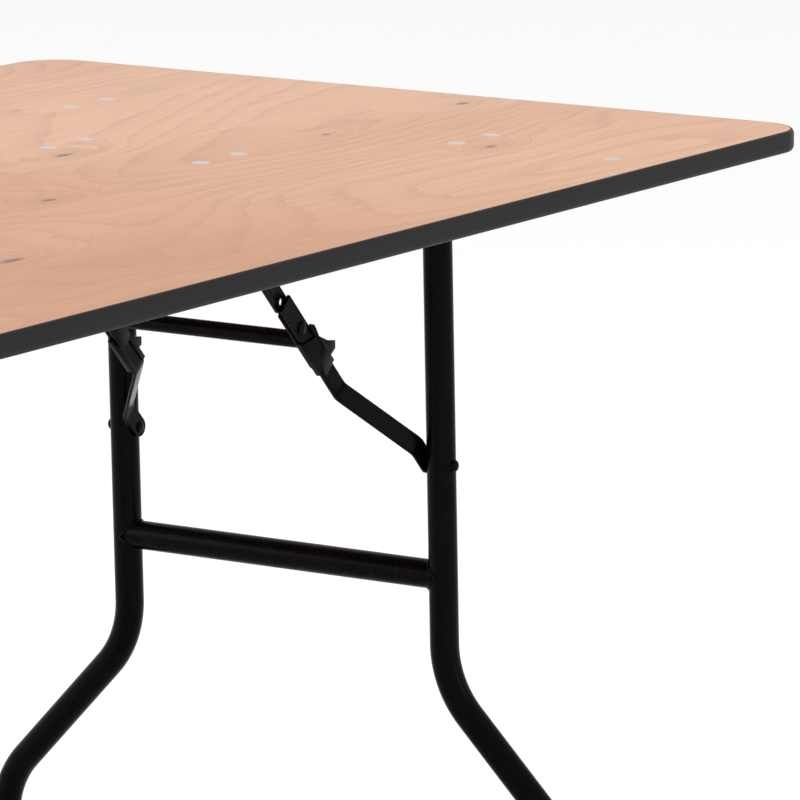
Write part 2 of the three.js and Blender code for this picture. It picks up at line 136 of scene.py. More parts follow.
class Graph:
    # Short calls for laying nodes and joining them.
    def __init__(self, tree):
        self.tree = tree
        self.column = 0

    def node(self, kind, **settings):
        made = self.tree.nodes.new(kind)
        self.column += 1
        made.location = (180 * self.column, 0)
        for name, value in settings.items():
            setattr(made, name, value)
        return made

    def feed(self, socket, value):
        if isinstance(value, bpy.types.NodeSocket):
            self.tree.links.new(value, socket)
        elif isinstance(value, (tuple, list)) and len(value) == 3 and socket.type == "RGBA":
            socket.default_value = (*value, 1)
        else:
            socket.default_value = value

    def math(self, operation, a, b=0.0, clamp=False):
        made = self.node("ShaderNodeMath", operation=operation, use_clamp=clamp)
        self.feed(made.inputs[0], a)
        self.feed(made.inputs[1], b)
        return made.outputs[0]

    def noise(self, vector, scale, detail=3.0, roughness=0.5, distortion=0.0):
        made = self.node("ShaderNodeTexNoise")
        self.feed(made.inputs["Vector"], vector)
        self.feed(made.inputs["Scale"], scale)
        self.feed(made.inputs["Detail"], detail)
        self.feed(made.inputs["Roughness"], roughness)
        self.feed(made.inputs["Distortion"], distortion)
        return made.outputs[0]

    def stretch(self, vector, scale, location=(0, 0, 0)):
        made = self.node("ShaderNodeMapping")
        self.feed(made.inputs["Vector"], vector)
        self.feed(made.inputs["Scale"], scale)
        self.feed(made.inputs["Location"], location)
        return made.outputs[0]

    def ramp(self, value, low, high, out=(0.0, 1.0)):
        made = self.node("ShaderNodeMapRange", interpolation_type="SMOOTHSTEP")
        self.feed(made.inputs["Value"], value)
        self.feed(made.inputs["From Min"], low)
        self.feed(made.inputs["From Max"], high)
        self.feed(made.inputs["To Min"], out[0])
        self.feed(made.inputs["To Max"], out[1])
        return made.outputs[0]

    def mix(self, share, a, b, blend="MIX"):
        made = self.node("ShaderNodeMix", data_type="RGBA", blend_type=blend)
        self.feed(made.inputs[0], share)
        self.feed(made.inputs[6], a)
        self.feed(made.inputs[7], b)
        return made.outputs[2]

    def bump(self, height, strength, distance):
        made = self.node("ShaderNodeBump")
        self.feed(made.inputs["Strength"], strength)
        self.feed(made.inputs["Distance"], distance)
        self.feed(made.inputs["Height"], height)
        return made.outputs[0]

    def group(self, tree, **values):
        made = self.node("ShaderNodeGroup", node_tree=tree)
        for name, value in values.items():
            self.feed(made.inputs[name], value)
        return made.outputs


def startGroup(name, inputs, outputs):
    tree = bpy.data.node_groups.new(name, "ShaderNodeTree")
    for label, kind, value in inputs:
        socket = tree.interface.new_socket(name=label, in_out="INPUT", socket_type=kind)
        if kind != "NodeSocketVector":
            socket.default_value = value
    for label, kind in outputs:
        tree.interface.new_socket(name=label, in_out="OUTPUT", socket_type=kind)
    graph = Graph(tree)
    entry = graph.node("NodeGroupInput")
    leave = graph.node("NodeGroupOutput")
    return tree, graph, entry.outputs, leave.inputs


def makeCoatGroup():
    # Sprayed or moulded skin: fine orange peel, faint cloudiness, and rubbed spots along edges.
    tree, g, given, out = startGroup(
        "sprayedSkin",
        [("Vector", "NodeSocketVector", None), ("Base", "NodeSocketColor", (0, 0, 0, 1)),
         ("Rubbed", "NodeSocketColor", (0.1, 0.1, 0.1, 1)), ("Roughness", "NodeSocketFloat", 0.3),
         ("Peel Scale", "NodeSocketFloat", 900.0), ("Peel Depth", "NodeSocketFloat", 0.1),
         ("Wear", "NodeSocketFloat", 0.3)],
        [("Color", "NodeSocketColor"), ("Roughness", "NodeSocketFloat"), ("Normal", "NodeSocketVector")],
    )
    cloud = g.noise(given["Vector"], 14.0, 4.0)
    dust = g.noise(given["Vector"], 220.0, 3.0, 0.65)
    shape = g.node("ShaderNodeNewGeometry")
    edge = g.ramp(shape.outputs["Pointiness"], 0.515, 0.56)
    patchy = g.ramp(g.noise(given["Vector"], 90.0, 5.0, 0.7), 0.45, 0.7)
    rub = g.math("MULTIPLY", g.math("MULTIPLY", edge, patchy), given["Wear"], clamp=True)
    tinted = g.mix(g.math("MULTIPLY", cloud, 0.25), given["Base"], given["Rubbed"])
    g.feed(out["Color"], g.mix(rub, tinted, given["Rubbed"]))
    uneven = g.math("ADD", g.math("MULTIPLY", g.math("SUBTRACT", cloud, 0.5), 0.16),
                    g.math("MULTIPLY", g.math("SUBTRACT", dust, 0.5), 0.10))
    worn = g.math("MULTIPLY", rub, 0.25)
    rough = g.math("ADD", g.math("ADD", given["Roughness"], uneven), worn, clamp=True)
    g.feed(out["Roughness"], rough)
    peel = g.noise(given["Vector"], given["Peel Scale"], 2.0, 0.4)
    g.feed(out["Normal"], g.bump(peel, given["Peel Depth"], 0.0004))
    return tree


def makeGrainGroup():
    # Rotary-cut veneer: the contour bands of a slow height field drawn out along the sheet.
    tree, g, given, out = startGroup(
        "veneerGrain",
        [("Vector", "NodeSocketVector", None), ("Bands", "NodeSocketFloat", 9.0),
         ("Swirl", "NodeSocketFloat", 0.35), ("Fibre", "NodeSocketFloat", 1.0)],
        [("Bands", "NodeSocketFloat"), ("Fibre", "NodeSocketFloat"), ("Pores", "NodeSocketFloat"),
         ("Clouds", "NodeSocketFloat")],
    )
    slow = g.stretch(given["Vector"], (1.0, 3.4, 1.0), (3.7, 1.3, 0.2))
    hills = g.noise(slow, 1.0, 1.5, 0.45, given["Swirl"])
    ripples = g.noise(g.stretch(given["Vector"], (5.0, 24.0, 1.0)), 1.0, 4.0, 0.6)
    height = g.math("ADD", hills, g.math("MULTIPLY", ripples, 0.05))
    phase = g.math("FRACT", g.math("MULTIPLY", height, given["Bands"]))
    late = g.math("POWER", phase, 3.2)
    falloff = g.ramp(phase, 0.93, 1.0, (1.0, 0.0))
    g.feed(out["Bands"], g.math("MULTIPLY", late, falloff))
    fibreLine = g.noise(g.stretch(given["Vector"], (7.0, 420.0, 60.0)), 1.0, 4.0, 0.62)
    g.feed(out["Fibre"], g.math("MULTIPLY", fibreLine, given["Fibre"]))
    dash = g.noise(g.stretch(given["Vector"], (38.0, 950.0, 1.0)), 1.0, 2.0, 0.5)
    g.feed(out["Pores"], g.ramp(dash, 0.66, 0.78))
    g.feed(out["Clouds"], g.noise(g.stretch(given["Vector"], (1.4, 3.4, 1.0), (9.1, 4.0, 0)), 1.0, 3.0, 0.5))
    return tree


sprayedSkin = makeCoatGroup()
veneerGrain = makeGrainGroup()


def startMaterial(name):
    made = bpy.data.materials.new(name)
    made.use_nodes = True
    graph = Graph(made.node_tree)
    shader = made.node_tree.nodes["Principled BSDF"]
    place = graph.node("ShaderNodeTexCoord").outputs["Object"]
    return made, graph, shader, place

boardLook = {
    "pale": (0.622, 0.356, 0.219),
    "mid": (0.545, 0.279, 0.156),
    "late": (0.330, 0.150, 0.075),
    # painted shade: the colour the top is multiplied by on its camera side, then the way and the reach of that
    # fade
    "nearSideShade": (0.865, 0.755, 0.640),
    "shadeWay": (-0.85, -0.53, 0.0),
    "shadeReach": (-0.62, 0.18),
    "knot": (0.11, 0.040, 0.020),
    "specular": 0.30,
    "coat": 0.10,
    "coatRoughness": 0.22,
    # each knot: x, y, half length, half width
    "knots": [
        (0.457, 0.039, 0.016, 0.006), (0.268, -0.080, 0.012, 0.006), (0.031, -0.215, 0.020, 0.007),
        (0.661, -0.075, 0.008, 0.004), (0.868, -0.076, 0.012, 0.006), (0.676, -0.2205, 0.010, 0.005),
        (-0.300, 0.200, 0.014, 0.006), (-0.620, -0.150, 0.016, 0.007), (-0.720, 0.110, 0.012, 0.006),
    ],
}


def plywoodFinish():
    made, g, shader, place = startMaterial("clearCoatedPlywood")
    knotMask = 0.0
    halo = 0.0
    for x, y, longHalf, wideHalf in boardLook["knots"]:
        near = g.stretch(place, (1 / longHalf, 1 / wideHalf, 0), (-x / longHalf, -y / wideHalf, 0))
        reach = g.node("ShaderNodeVectorMath", operation="LENGTH")
        g.feed(reach.inputs[0], near)
        distance = reach.outputs["Value"]
        knotMask = g.math("MAXIMUM", knotMask, g.ramp(distance, 0.30, 0.95, (1.0, 0.0)))
        halo = g.math("ADD", halo, g.ramp(distance, 0.4, 7.0, (1.0, 0.0)))
    lift = g.node("ShaderNodeCombineXYZ")
    g.feed(lift.inputs["Y"], g.math("MULTIPLY", halo, 0.055))
    push = g.node("ShaderNodeVectorMath", operation="ADD")
    g.feed(push.inputs[0], place)
    g.feed(push.inputs[1], lift.outputs[0])
    grain = g.group(veneerGrain, Vector=push.outputs[0], Bands=24.0, Swirl=0.7, Fibre=1.0)
    clouded = g.mix(g.ramp(grain["Clouds"], 0.3, 0.72), boardLook["pale"], boardLook["mid"])
    # Painted shade: the sheet turns slowly darker and warmer towards the side nearest the camera.
    across = g.node("ShaderNodeVectorMath", operation="DOT_PRODUCT")
    g.feed(across.inputs[0], place)
    g.feed(across.inputs[1], boardLook["shadeWay"])
    nearShaded = g.mix(1.0, clouded, boardLook["nearSideShade"], "MULTIPLY")
    ground = g.mix(g.ramp(across.outputs["Value"], *boardLook["shadeReach"]), clouded, nearShaded)
    banded = g.mix(g.math("MULTIPLY", grain["Bands"], 0.34), ground, boardLook["late"])
    streaked = g.mix(g.math("MULTIPLY", g.ramp(grain["Fibre"], 0.42, 0.72), 0.30), banded, boardLook["late"])
    pored = g.mix(g.math("MULTIPLY", grain["Pores"], 0.34), streaked, boardLook["late"])
    ring = g.math("POWER", g.math("MINIMUM", halo, 1.0), 3.0)
    ringed = g.mix(g.math("MULTIPLY", ring, 0.25), pored, boardLook["late"])
    knotty = g.mix(g.math("MULTIPLY", knotMask, 0.8), ringed, boardLook["knot"])
    g.feed(shader.inputs["Base Color"], knotty)
    rough = g.math("ADD", 0.42, g.math("MULTIPLY", grain["Fibre"], 0.16))
    g.feed(shader.inputs["Roughness"], rough)
    raised = g.math("ADD", g.math("MULTIPLY", grain["Fibre"], 0.5), g.math("MULTIPLY", grain["Pores"], -0.6))
    g.feed(shader.inputs["Normal"], g.bump(raised, 0.16, 0.0003))
    shader.inputs["Specular IOR Level"].default_value = boardLook["specular"]
    shader.inputs["Coat Weight"].default_value = boardLook["coat"]
    shader.inputs["Coat Roughness"].default_value = boardLook["coatRoughness"]
    return made


def skinFinish(name, look):
    made, g, shader, place = startMaterial(name)
    skin = g.group(
        sprayedSkin, Vector=place, Base=(*look["base"], 1), Rubbed=(*look["rubbed"], 1),
        Roughness=look["roughness"], Wear=look["wear"],
        **{"Peel Scale": look["peelScale"], "Peel Depth": look["peelDepth"]},
    )
    g.feed(shader.inputs["Base Color"], skin["Color"])
    g.feed(shader.inputs["Roughness"], skin["Roughness"])
    g.feed(shader.inputs["Normal"], skin["Normal"])
    shader.inputs["Metallic"].default_value = look.get("metallic", 0.0)
    shader.inputs["Specular IOR Level"].default_value = look["specular"]
    return made


powderLook = {
    "base": (0.0009, 0.0008, 0.0010), "rubbed": (0.0050, 0.0046, 0.0054), "roughness": 0.22, "wear": 0.5,
    "peelScale": 850.0, "peelDepth": 0.08, "specular": 0.045,
}
bandLook = {
    "base": (0.0100, 0.0102, 0.0098), "rubbed": (0.024, 0.024, 0.023), "roughness": 0.44, "wear": 0.25,
    "peelScale": 1500.0, "peelDepth": 0.10, "specular": 0.09,
}
zincLook = {
    "base": (0.50, 0.455, 0.455), "rubbed": (0.62, 0.58, 0.58), "roughness": 0.42, "wear": 0.4,
    "peelScale": 1300.0, "peelDepth": 0.16, "specular": 0.4, "metallic": 0.35,
}
rubberLook = {
    "base": (0.013, 0.013, 0.014), "rubbed": (0.05, 0.048, 0.046), "roughness": 0.62, "wear": 0.7,
    "peelScale": 1000.0, "peelDepth": 0.25, "specular": 0.3,
}

plywood = plywoodFinish()
bandVinyl = skinFinish("bandVinyl", bandLook)
powderBlack = skinFinish("powderBlack", powderLook)
zincSteel = skinFinish("zincSteel", zincLook)
footRubber = skinFinish("footRubber", rubberLook)
print("stage: finishes")


def addPiece(name, mesh, finish, body, replaced=(), creaseAngle=40):
    mesh.materials.clear()
    mesh.materials.append(finish)
    piece = bpy.data.objects.new(name, mesh)
    bpy.context.scene.collection.objects.link(piece)
    mesh.shade_smooth()
    mesh.set_sharp_from_angle(angle=math.radians(creaseAngle))
    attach(piece, body)
    if replaced:
        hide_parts(*replaced)
    return piece


def meshFromRings(name, rings, capped=False, joinEnds=False):
    # Skins a list of equal rings of points with quads.
    points = [point for ring in rings for point in ring]
    count = len(rings[0])
    faces = []
    pairs = list(zip(range(len(rings) - 1), range(1, len(rings))))
    if joinEnds:
        pairs.append((len(rings) - 1, 0))
    for low, high in pairs:
        for i in range(count):
            j = (i + 1) % count
            faces.append((low * count + i, low * count + j, high * count + j, high * count + i))
    if capped:
        faces.append(tuple(reversed(range(count))))
        faces.append(tuple((len(rings) - 1) * count + i for i in range(count)))
    mesh = bpy.data.meshes.new(name)
    mesh.from_pydata(points, [], faces)
    tidyMesh(mesh)
    return mesh


def tidyMesh(mesh):
    work = bmesh.new()
    work.from_mesh(mesh)
    bmesh.ops.remove_doubles(work, verts=work.verts, dist=1e-7)
    bmesh.ops.recalc_face_normals(work, faces=work.faces)
    work.to_mesh(mesh)
    work.free()


def ringAt(centre, sideA, sideB, radius, sides):
    steps = [tau * i / sides for i in range(sides)]
    return [centre + radius * (math.cos(t) * sideA + math.sin(t) * sideB) for t in steps]


def turnedMesh(name, profile, place, sides=32):
    # Turns a list of (radius, height) about the local Z of place, a 4x4 matrix.
    rings = []
    for radius, height in profile:
        ring = ringAt(Vector((0, 0, height)), xWay, yWay, max(radius, tinyRadius), sides)
        rings.append([place @ point for point in ring])
    return meshFromRings(name, rings, capped=True)


def sweptRings(path, radius, sides):
    # Rings square to a flat path in the local YZ plane; path is a list of (point, direction).
    rings = []
    for point, direction in path:
        rings.append(ringAt(point, xWay, direction.cross(xWay).normalized(), radius, sides))
    return rings


def filletPath(corners, radius, steps):
    path = [(corners[0], (corners[1] - corners[0]).normalized())]
    for before, corner, after in zip(corners, corners[1:], corners[2:]):
        into = (corner - before).normalized()
        leaving = (after - corner).normalized()
        turn = into.angle(leaving)
        axis = into.cross(leaving).normalized()
        start = corner - into * radius * math.tan(turn / 2)
        centre = start + axis.cross(into) * radius
        for i in range(steps + 1):
            spin = Matrix.Rotation(turn * i / steps, 3, axis)
            path.append((centre + spin @ (start - centre), spin @ into))
    path.append((corners[-1], (corners[-1] - corners[-2]).normalized()))
    return path


# Distances in metres, angles in degrees.
pressedSpec = {"weld": 0.002 * mm, "flat": 1.5, "crease": 38, "smooth": 32}


def softened(name, node, width):
    # A copy of a pressed-steel CAD node with its sheared edges eased.
    work = bmesh.new()
    work.from_mesh(frame["nodes"][node].data)
    bmesh.ops.remove_doubles(work, verts=work.verts, dist=pressedSpec["weld"])
    flat = math.radians(pressedSpec["flat"])
    bmesh.ops.dissolve_limit(work, angle_limit=flat, verts=work.verts, edges=work.edges)
    crease = math.radians(pressedSpec["crease"])
    sharp = [e for e in work.edges if len(e.link_faces) == 2 and e.calc_face_angle(0) > crease]
    bmesh.ops.bevel(
        work, geom=sharp, offset=width, segments=2, profile=0.5, affect="EDGES", clamp_overlap=True
    )
    bmesh.ops.recalc_face_normals(work, faces=work.faces)
    mesh = bpy.data.meshes.new(name)
    work.to_mesh(mesh)
    work.free()
    smooth = pressedSpec["smooth"]
    return addPiece(name, mesh, powderBlack, bodyOfNode[node], [node], smooth)


bandSpec = {
    "wall": 3.0 * mm, "lip": 0.2 * mm, "lipDrop": 0.3 * mm, "shoulderDrop": 4.6 * mm,
    "shoulderIn": 2.6 * mm, "corner": 43 * mm, "turns": 22, "bends": 7,
}


def makeTop():
    board = frame["nodes"]["top_panel"]
    board.data.materials.clear()
    board.data.materials.append(plywood)


def makeBand():
    low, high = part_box("edge_band")
    radius = bandSpec["corner"]
    drop = bandSpec["shoulderDrop"]
    inset = bandSpec["shoulderIn"]
    wall = bandSpec["wall"]
    lip = wall - bandSpec["lip"]
    lipDrop = bandSpec["lipDrop"]
    bends = bandSpec["bends"]
    # The section goes from the inner wall's foot, out and over both shoulders: pairs of (inward, z).
    section = [(wall, low.z + lipDrop), (lip, low.z)]
    for i in range(bends + 1):
        turn = math.pi / 2 * i / bends
        section.append((inset * (1 - math.sin(turn)), low.z + drop * (1 - math.cos(turn))))
    for i in range(bends + 1):
        turn = math.pi / 2 * i / bends
        section.append((inset * (1 - math.cos(turn)), high.z - drop * (1 - math.sin(turn))))
    section += [(lip, high.z), (wall, high.z - lipDrop)]
    rings = []
    corners = [(high.x - radius, high.y - radius, 0), (low.x + radius, high.y - radius, 1),
               (low.x + radius, low.y + radius, 2), (high.x - radius, low.y + radius, 3)]
    for x, y, quarter in corners:
        for i in range(bandSpec["turns"] + 1):
            turn = math.pi / 2 * (quarter + i / bandSpec["turns"])
            out = Vector((math.cos(turn), math.sin(turn), 0))
            rings.append([Vector((x, y, z)) + out * (radius - inward) for inward, z in section])
    mesh = meshFromRings("edgeBandStrip", rings, joinEnds=True)
    addPiece("edgeBandStrip", mesh, bandVinyl, "table_top", ["edge_band"], 60)


boltSpec = {
    "disc": 7.35 * mm, "dome": 0.25 * mm, "rim": 0.5 * mm, "sink": 1.6 * mm, "shank": 3.0 * mm,
    "stub": 6.2 * mm, "nut": 5.8 * mm, "nutThick": 4.6 * mm, "nutChamfer": 0.9 * mm,
    "washer": 6.2 * mm, "washerThick": 0.4 * mm, "washerEase": 0.15 * mm,
}


def makeBolts():
    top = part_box("top_panel")[1].z
    disc = boltSpec["disc"]
    dome = boltSpec["dome"]
    rim = boltSpec["rim"]
    shank = boltSpec["shank"]
    neck = top - boltSpec["sink"]
    for node in [name for name in frame["nodes"] if "_bolt_" in name]:
        low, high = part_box(node)
        centre = (low + high) / 2
        profile = [
            (0, low.z), (shank * 0.7, low.z), (shank, low.z + rim), (shank, neck - 0.4 * mm),
            (disc - 0.1 * mm, neck), (disc, top - 0.02 * mm), (disc - rim, top + 0.6 * dome),
            (disc * 0.55, top + dome), (0, top + 1.1 * dome),
        ]
        head = turnedMesh(node + "Screw", profile, Matrix.Translation((centre.x, centre.y, 0)))
        work = bmesh.new()
        work.from_mesh(head)
        addNut(work, centre, low.z + boltSpec["stub"])
        work.to_mesh(head)
        work.free()
        addPiece(node + "Screw", head, zincSteel, "table_top", [node], 35)


def addNut(work, centre, seat):
    # A hex nut with chamfered corners, on a thin washer.
    under = seat - boltSpec["washerThick"]
    addDisc(work, centre, boltSpec["nut"], under - boltSpec["nutThick"], under, 6, boltSpec["nutChamfer"])
    addDisc(work, centre, boltSpec["washer"], under, seat, 28, boltSpec["washerEase"])


def addDisc(work, centre, radius, bottom, top, sides, ease):
    steps = [
        (radius - ease, bottom), (radius, bottom + ease * 0.6),
        (radius, top - ease * 0.2), (radius - ease * 0.5, top),
    ]
    rings = []
    for reach, z in steps:
        points = ringAt(Vector((centre.x, centre.y, z)), xWay, yWay, reach, sides)
        rings.append([work.verts.new(point) for point in points])
    for ringA, ringB in zip(rings, rings[1:]):
        for i in range(sides):
            j = (i + 1) % sides
            work.faces.new((ringA[i], ringA[j], ringB[j], ringB[i]))
    work.faces.new(tuple(reversed(rings[0])))
    work.faces.new(tuple(rings[-1]))


bumperSpec = {
    "x": 672 * mm, "y": 334 * mm, "disc": 6.6 * mm, "discRim": 0.6 * mm, "dome": 0.25 * mm,
    "flange": 11 * mm, "flangeThick": 1.2 * mm, "waist": 9.4 * mm, "drop": 6.5 * mm,
    "dimple": 4.2 * mm, "dimpleDeep": 1.2 * mm,
}


def makeBumpers():
    # A flush rivet near each corner, which holds a rubber stacking bumper under the top.
    low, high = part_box("top_panel")
    disc = bumperSpec["disc"]
    rim = bumperSpec["discRim"]
    dome = bumperSpec["dome"]
    flange = bumperSpec["flange"]
    waist = bumperSpec["waist"]
    dimple = bumperSpec["dimple"]
    foot = low.z - bumperSpec["drop"]
    seat = low.z - bumperSpec["flangeThick"]
    deep = foot + bumperSpec["dimpleDeep"]
    discProfile = [
        (0, high.z - 1.2 * mm), (disc - rim, high.z - 1.0 * mm), (disc, high.z - 0.05 * mm),
        (disc - 0.5 * mm, high.z + 0.12 * mm), (disc / 2, high.z + 0.22 * mm), (0, high.z + dome),
    ]
    padProfile = [
        (0, low.z + 0.4 * mm), (flange, low.z + 0.4 * mm), (flange, seat), (waist, seat - 0.8 * mm),
        (waist, foot + 1.4 * mm), (waist - 0.5 * mm, foot + 0.4 * mm), (waist - 1.5 * mm, foot),
        (dimple, foot), (dimple - 0.8 * mm, deep), (0, deep),
    ]
    for label, sideX, sideY in (("a", 1, -1), ("b", -1, 1), ("c", 1, 1), ("d", -1, -1)):
        place = Matrix.Translation((sideX * bumperSpec["x"], sideY * bumperSpec["y"], 0))
        rivet = turnedMesh("bumperRivet_" + label, discProfile, place, 28)
        addPiece("bumperRivet_" + label, rivet, zincSteel, "table_top", [], 35)
        bumper = turnedMesh("stackBumper_" + label, padProfile, place)
        addPiece("stackBumper_" + label, bumper, footRubber, "table_top", [], 38)


makeTop()
makeBand()
makeBolts()
makeBumpers()
print("stage: top, band and bolts")


legSpec = {
    "tube": 12 * mm, "wall": 1.4 * mm, "upperY": 155.4 * mm, "footY": 290.4 * mm, "bendTop": 422.3 * mm,
    "bendBottom": 564.4 * mm, "bendRadius": 85 * mm, "crossbarDown": 331.2 * mm, "rivetDown": 238.4 * mm,
    "sides": 40, "bendSteps": 14, "top": 4 * mm, "bottom": 7 * mm, "barShort": 5 * mm,
}
pipeSpec = {"lip": 0.5 * mm, "boreDeep": 14 * mm}
weldSpec = {
    "bead": 1.4 * mm, "beadSides": 10, "ripple": 0.15 * mm, "ripples": 26, "steps": 104,
    "lookAhead": 0.02, "grip": 1.004,
}
rivetSpec = {
    "dome": 4.9 * mm, "height": 2.9 * mm, "collar": 5.3 * mm, "shank": 2.9 * mm, "seat": 0.6 * mm,
    "bends": 7,
}


def frameMatrix(suffix):
    # From the leg frame's own axes, hinge at the origin and legs down -Z, to the table's.
    joint = jointOf["leg_fold_" + suffix]
    hinge = Vector(joint["pos_m"])
    mounts = {mount["name"]: Vector(mount["pos_m"]) for mount in frame["record"]["mounts"]}
    footAt = mounts["foot_left_" + suffix]
    tilt = math.atan2(abs(footAt.x) - abs(hinge.x), hinge.z)
    turn = Matrix.Rotation(ends[suffix], 4, "Z")
    home = Matrix.Translation((abs(hinge.x), 0, hinge.z))
    return turn @ home @ Matrix.Rotation(-tilt, 4, "Y"), hinge.z / math.cos(tilt)


def makeLeg(word, hand, suffix, place, length):
    y = hand * legSpec["upperY"]
    footY = hand * legSpec["footY"]
    corners = [
        Vector((0, y, -legSpec["top"])), Vector((0, y, -legSpec["bendTop"])),
        Vector((0, footY, -legSpec["bendBottom"])), Vector((0, footY, legSpec["bottom"] - length)),
    ]
    path = filletPath(corners, legSpec["bendRadius"], legSpec["bendSteps"])
    rings = [[place @ p for p in ring] for ring in sweptRings(path, legSpec["tube"], legSpec["sides"])]
    node = f"leg_{word}_{suffix}"
    mesh = meshFromRings(node + "Tube", rings, capped=True)
    addPiece(node + "Tube", mesh, powderBlack, "leg_frame_" + suffix, [node], 50)


def makeAcrossTube(name, node, half, radius, place, body, wall=0.0):
    # A straight tube along Y. One with a wall has rolled lips and is hollow at its ends.
    profile = [(radius, -half), (radius, half)]
    if wall:
        lip = pipeSpec["lip"]
        bore = radius - wall
        deep = half - pipeSpec["boreDeep"]
        profile = [
            (bore, -deep), (bore, lip - half), (radius - lip, -half), (radius, lip - half),
            (radius, half - lip), (radius - lip, half), (bore, half - lip), (bore, deep),
        ]
    across = place @ Matrix.Rotation(-math.pi / 2, 4, "X")
    mesh = turnedMesh(name, profile, across, legSpec["sides"])
    addPiece(name, mesh, powderBlack, body, [node], 50)


def weldLoop(name, pointAt, outwardAt, place, body):
    # A bead laid round a joint: pointAt gives the seam, outwardAt the way it faces.
    rings = []
    ahead = weldSpec["lookAhead"]
    for i in range(weldSpec["steps"]):
        turn = tau * i / weldSpec["steps"]
        along = (pointAt(turn + ahead) - pointAt(turn - ahead)).normalized()
        outward = outwardAt(turn)
        sideA = (outward - along * outward.dot(along)).normalized()
        sideB = along.cross(sideA)
        ripple = abs(math.sin(weldSpec["ripples"] * turn / 2))
        radius = weldSpec["bead"] + weldSpec["ripple"] * ripple
        ring = ringAt(pointAt(turn), sideA, sideB, radius, weldSpec["beadSides"])
        rings.append([place @ point for point in ring])
    mesh = meshFromRings(name, rings, joinEnds=True)
    addPiece(name, mesh, powderBlack, body, [], 60)


def makeWelds(word, hand, suffix, place):
    r = legSpec["tube"]
    y = hand * legSpec["upperY"]
    grip = r * weldSpec["grip"]
    body = "leg_frame_" + suffix

    def crossbarSeam(turn):
        x = r * math.cos(turn)
        inward = math.sqrt(grip * grip - x * x)
        return Vector((x, y - hand * inward, r * math.sin(turn) - legSpec["crossbarDown"]))

    def crossbarOut(turn):
        return Vector((math.cos(turn), 0, math.sin(turn)))

    def hingeSeam(turn):
        x = r * math.cos(turn)
        return Vector((x, y + r * math.sin(turn), -math.sqrt(grip * grip - x * x)))

    def hingeOut(turn):
        return Vector((math.cos(turn), math.sin(turn), 0))

    weldLoop(f"crossbarWeld_{word}_{suffix}", crossbarSeam, crossbarOut, place, body)
    weldLoop(f"hingeTubeWeld_{word}_{suffix}", hingeSeam, hingeOut, place, body)


footSpec = {
    "radius": 14 * mm, "height": 30 * mm, "below": 2 * mm, "ease": 1.6 * mm, "mouth": 12.5 * mm,
    "inner": 11.9 * mm, "ribs": 3, "firstRib": 12 * mm, "ribPitch": 4 * mm, "ribDepth": 0.5 * mm,
}


def makeFoot(word, hand, suffix, place, length):
    node = f"foot_{word}_{suffix}"
    r = footSpec["radius"]
    ease = footSpec["ease"]
    below = footSpec["below"]
    height = footSpec["height"]
    groove = r - footSpec["ribDepth"]
    profile = [
        (0, -below), (r - 1.4 * ease, -below), (r - 0.4 * ease, 0.2 * mm), (r, ease + 0.4 * mm),
        (r, footSpec["firstRib"] - 1 * mm),
    ]
    for i in range(footSpec["ribs"]):
        start = footSpec["firstRib"] + footSpec["ribPitch"] * i
        profile += [
            (r, start), (groove, start + 0.7 * mm), (groove, start + 1.5 * mm), (r, start + 2.2 * mm),
        ]
    profile += [
        (r, height - 2 * mm), (r - 0.8 * mm, height - 0.3 * mm),
        (footSpec["mouth"], height), (footSpec["inner"], height - 0.6 * mm),
    ]
    seat = place @ Matrix.Translation((0, hand * legSpec["footY"], -length))
    mesh = turnedMesh(node + "Cap", profile, seat, legSpec["sides"])
    for vertex in mesh.vertices:  # the sole is flat on the floor
        vertex.co.z = max(vertex.co.z, 0.0)
    tidyMesh(mesh)
    addPiece(node + "Cap", mesh, footRubber, "leg_frame_" + suffix, [node], 40)


def makeLegRivet(word, hand, suffix, place):
    node = f"leg_rivet_{word}_{suffix}"
    start = legSpec["upperY"] + legSpec["tube"]
    inner = legSpec["upperY"] - legSpec["tube"] - 0.2 * mm
    shank = rivetSpec["shank"]
    collar = rivetSpec["collar"]
    seat = start + rivetSpec["seat"]
    profile = [
        (0, inner), (shank, inner), (shank, start - 1 * mm), (collar, start - 0.9 * mm),
        (collar, seat - 0.1 * mm),
    ]
    for i in range(rivetSpec["bends"] + 1):
        turn = math.pi / 2 * i / rivetSpec["bends"]
        profile.append((rivetSpec["dome"] * math.cos(turn), seat + rivetSpec["height"] * math.sin(turn)))
    drop = Matrix.Translation((0, 0, -legSpec["rivetDown"]))
    out = Matrix.Rotation(-hand * math.pi / 2, 4, "X")
    mesh = turnedMesh(node + "Dome", profile, place @ drop @ out, 28)
    addPiece(node + "Dome", mesh, powderBlack, "leg_frame_" + suffix, [node], 45)


def makeLegFrames():
    tube = legSpec["tube"]
    for suffix in ends:
        place, length = frameMatrix(suffix)
        body = "leg_frame_" + suffix
        hingeNode = "hinge_tube_" + suffix
        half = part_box(hingeNode)[1].y
        makeAcrossTube(hingeNode + "Pipe", hingeNode, half, tube, place, body, legSpec["wall"])
        barPlace = place @ Matrix.Translation((0, 0, -legSpec["crossbarDown"]))
        barNode = "crossbar_" + suffix
        barHalf = legSpec["upperY"] - legSpec["barShort"]
        makeAcrossTube(barNode + "Pipe", barNode, barHalf, tube, barPlace, body)
        for word, hand in hands.items():
            makeLeg(word, hand, suffix, place, length)
            makeWelds(word, hand, suffix, place)
            makeFoot(word, hand, suffix, place, length)
            makeLegRivet(word, hand, suffix, place)


makeLegFrames()
print("stage: leg frames")


